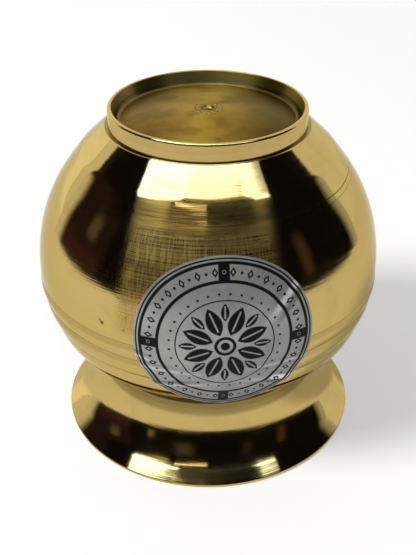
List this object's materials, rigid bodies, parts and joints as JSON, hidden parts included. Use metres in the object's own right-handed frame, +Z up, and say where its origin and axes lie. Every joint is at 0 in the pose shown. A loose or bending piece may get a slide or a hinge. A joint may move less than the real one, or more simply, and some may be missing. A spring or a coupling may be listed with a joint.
{
  "type": "kalash",
  "caption": "Small brass kalash standing on its flared mouth: round belly with turned shoulder bands, foot ring on top and a round foil label on the side.",
  "frame": {"origin": "middle of the mouth rim, on the surface that the pot stands on mouth down, as pictured", "axes": "+Z up along the pot's axis, from the mouth rim to the foot ring; -Y is the front, where the foil label is"},
  "size_m": [0.0798, 0.0804, 0.08],
  "materials": {
    "polished_brass": "polished, with fine lathe and buffing lines",
    "braze": "brazing brass, filed and buffed",
    "printed_foil": "silvered foil with a dark printed pattern",
    "adhesive": "clear pressure-sensitive gum"
  },
  "bodies": {
    "root": {"mouth_collar": "polished_brass", "belly_shell": "polished_brass", "bottom_bowl": "polished_brass", "foot_ring": "polished_brass", "seam_braze": "braze", "neck_braze": "braze", "foot_braze": "braze", "label_adhesive": "adhesive", "label_foil": "printed_foil"}
  },
  "joints": []
}
